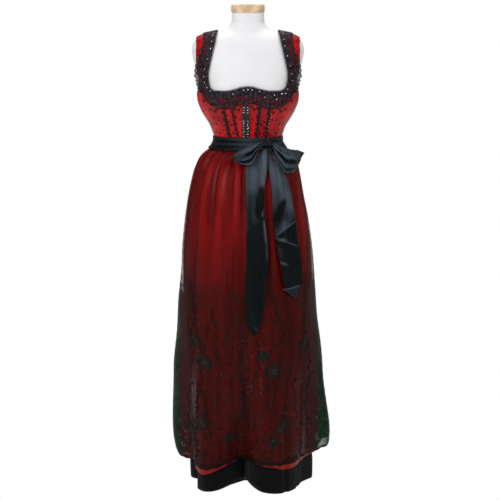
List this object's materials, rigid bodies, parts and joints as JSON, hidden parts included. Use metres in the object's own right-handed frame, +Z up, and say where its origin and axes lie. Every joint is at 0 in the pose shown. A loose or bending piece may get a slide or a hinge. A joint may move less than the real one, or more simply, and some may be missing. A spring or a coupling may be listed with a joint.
{
  "type": "dirndl on a dress form",
  "caption": "Floor-length red satin dirndl with a dark sheer apron, tied sash and black lace neckline, on a limbless dress form with a cross base",
  "frame": {"origin": "on the floor, at the middle of the base under the pole", "axes": "+Z up along the pole, -Y to the front of the dress, +X to the right of a viewer who faces the front"},
  "size_m": [0.5132, 0.4609, 1.543],
  "materials": {
    "red_satin": "bright red satin with a small woven sprig on the bodice",
    "black_lace": "dense black lace, slightly open at its outer edge",
    "black_trim": "matt black ruched ribbon and satin facing",
    "sash_satin": "slate black satin with a soft sheen",
    "apron_organza": "sheer dark green organza with tone on tone flowers",
    "black_underskirt": "matt black cotton",
    "silver_hook": "small polished hooks",
    "form_shell": "smooth off-white shell",
    "cap_wood": "light turned wood, clear lacquer",
    "stand_steel": "satin steel tube and flat legs"
  },
  "bodies": {
    "root": {"bodice_front_left": "red_satin", "bodice_front_right": "red_satin", "bodice_side_left": "red_satin", "bodice_side_right": "red_satin", "bodice_back_left": "red_satin", "bodice_back_right": "red_satin", "skirt_front_left": "red_satin", "skirt_front_right": "red_satin", "skirt_back_left": "red_satin", "skirt_back_right": "red_satin", "lace_front": "black_lace", "lace_back": "black_lace", "lace_strap_left": "black_lace", "lace_strap_right": "black_lace", "trim_outer_left": "black_trim", "trim_inner_left": "black_trim", "trim_inner_right": "black_trim", "trim_outer_right": "black_trim", "placket": "black_trim", "waistband": "sash_satin", "bow_knot": "sash_satin", "bow_loop_left": "sash_satin", "bow_loop_right": "sash_satin", "bow_tail_left": "sash_satin", "bow_tail_right": "sash_satin", "apron": "apron_organza", "underskirt_front_left": "black_underskirt", "underskirt_front_right": "black_underskirt", "underskirt_back_left": "black_underskirt", "underskirt_back_right": "black_underskirt", "hook_left_1": "silver_hook", "hook_left_2": "silver_hook", "hook_left_3": "silver_hook", "hook_left_4": "silver_hook", "hook_left_5": "silver_hook", "hook_left_6": "silver_hook", "hook_left_7": "silver_hook", "hook_left_8": "silver_hook", "hook_left_9": "silver_hook", "hook_left_10": "silver_hook", "hook_right_1": "silver_hook", "hook_right_2": "silver_hook", "hook_right_3": "silver_hook", "hook_right_4": "silver_hook", "hook_right_5": "silver_hook", "hook_right_6": "silver_hook", "hook_right_7": "silver_hook", "hook_right_8": "silver_hook", "hook_right_9": "silver_hook", "hook_right_10": "silver_hook", "form_torso": "form_shell", "form_neck_cap": "cap_wood", "form_pole": "stand_steel", "form_base": "stand_steel"}
  },
  "joints": []
}
